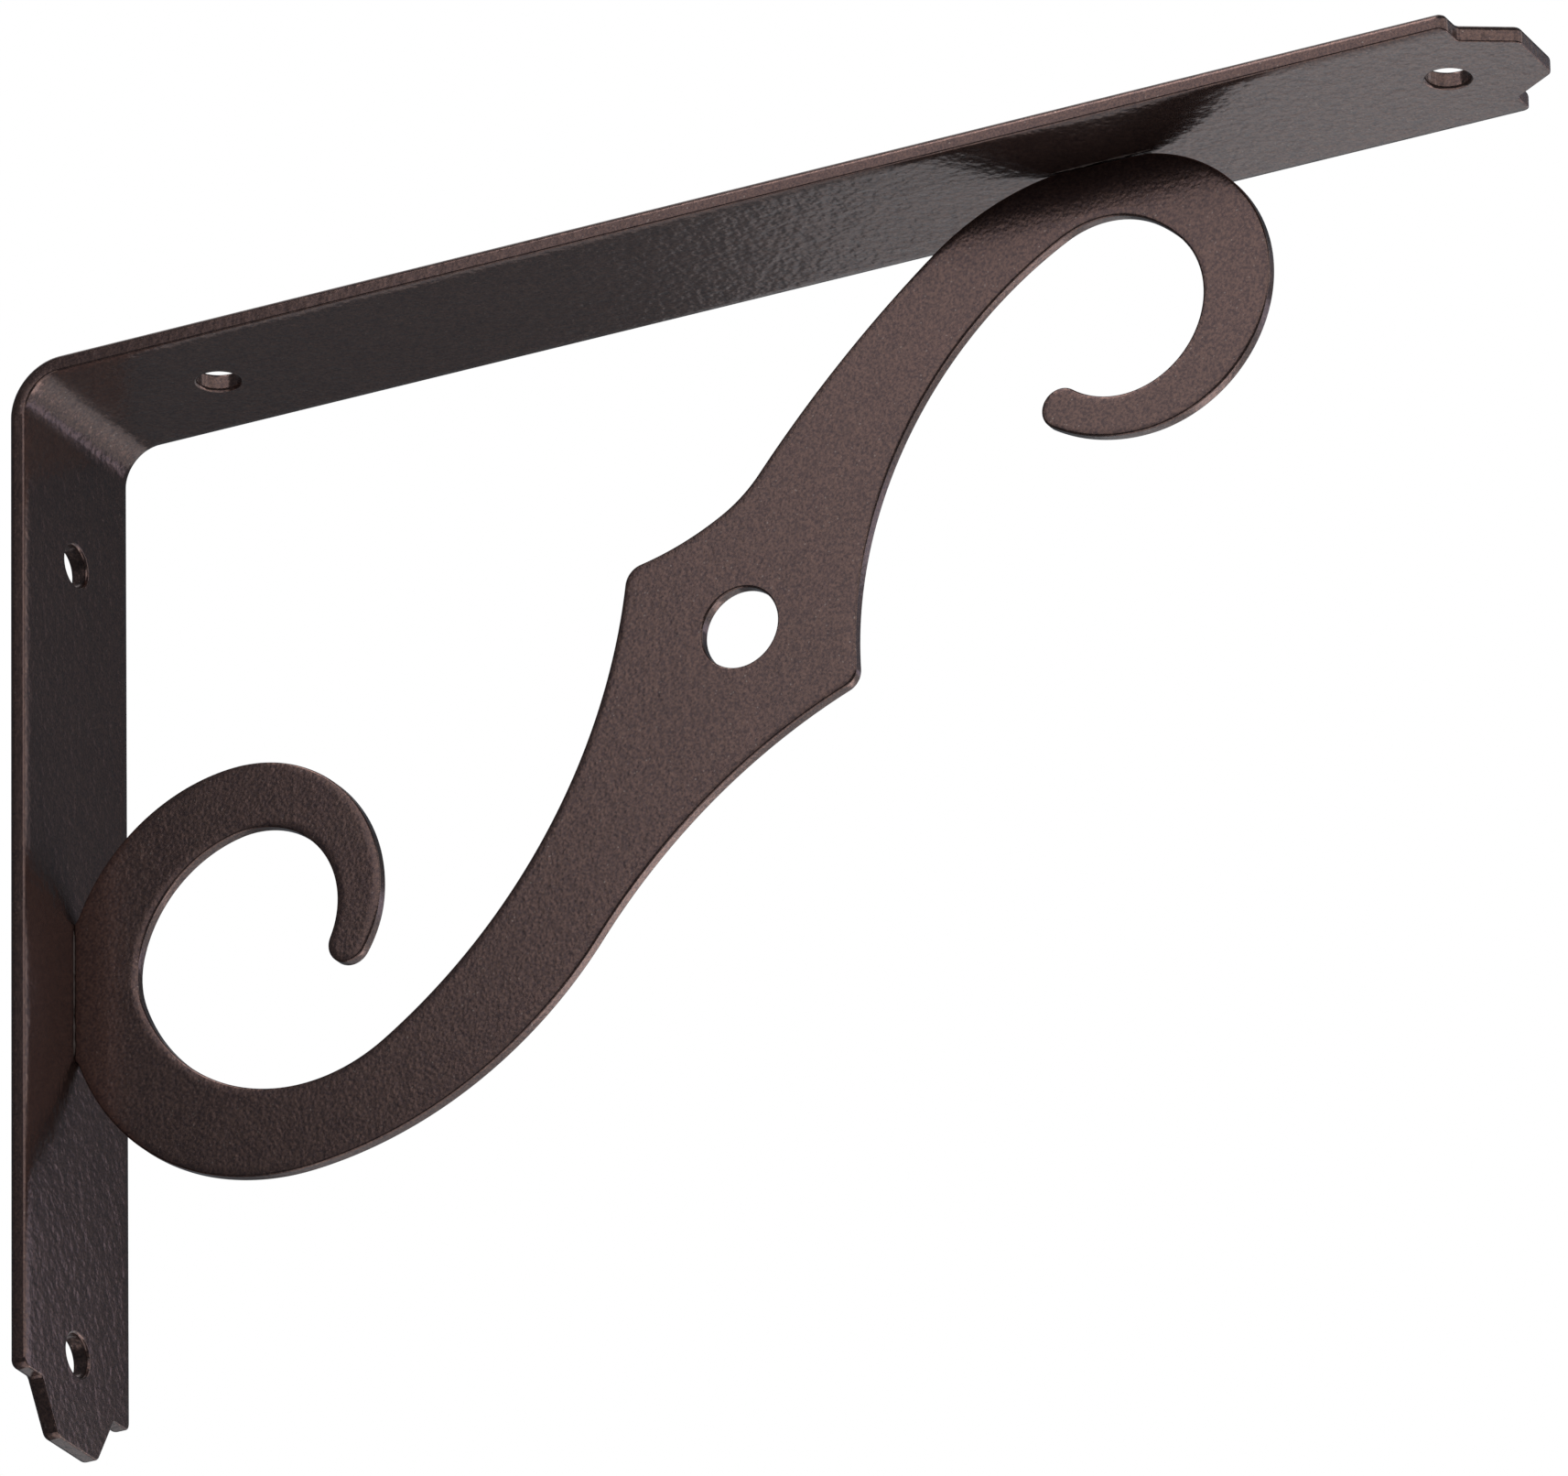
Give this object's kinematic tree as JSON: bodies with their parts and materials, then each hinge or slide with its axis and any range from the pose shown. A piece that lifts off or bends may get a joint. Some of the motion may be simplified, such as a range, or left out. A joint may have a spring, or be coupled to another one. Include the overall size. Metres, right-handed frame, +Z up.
{
  "type": "ornamental shelf bracket",
  "caption": "Bent flat-bar shelf bracket with screw holes in both arms and a flat S-scroll plate with a pierced lozenge standing in its corner.",
  "frame": {"origin": "on the flat back of the wall arm, on its centre line, half way between the two wall screw holes", "axes": "+X out from the wall along the shelf arm, +Z up along the wall arm to the shelf, Y across the width of the bar"},
  "size_m": [0.2415, 0.03, 0.1657],
  "materials": {
    "bar_coat": "semi-gloss antique bronze powder coat with a fine hammered grain",
    "scroll_coat": "semi-gloss antique bronze powder coat with a fine hammered grain"
  },
  "bodies": {
    "root": {"bent_bar": "bar_coat", "scroll_plate": "scroll_coat"}
  },
  "joints": []
}
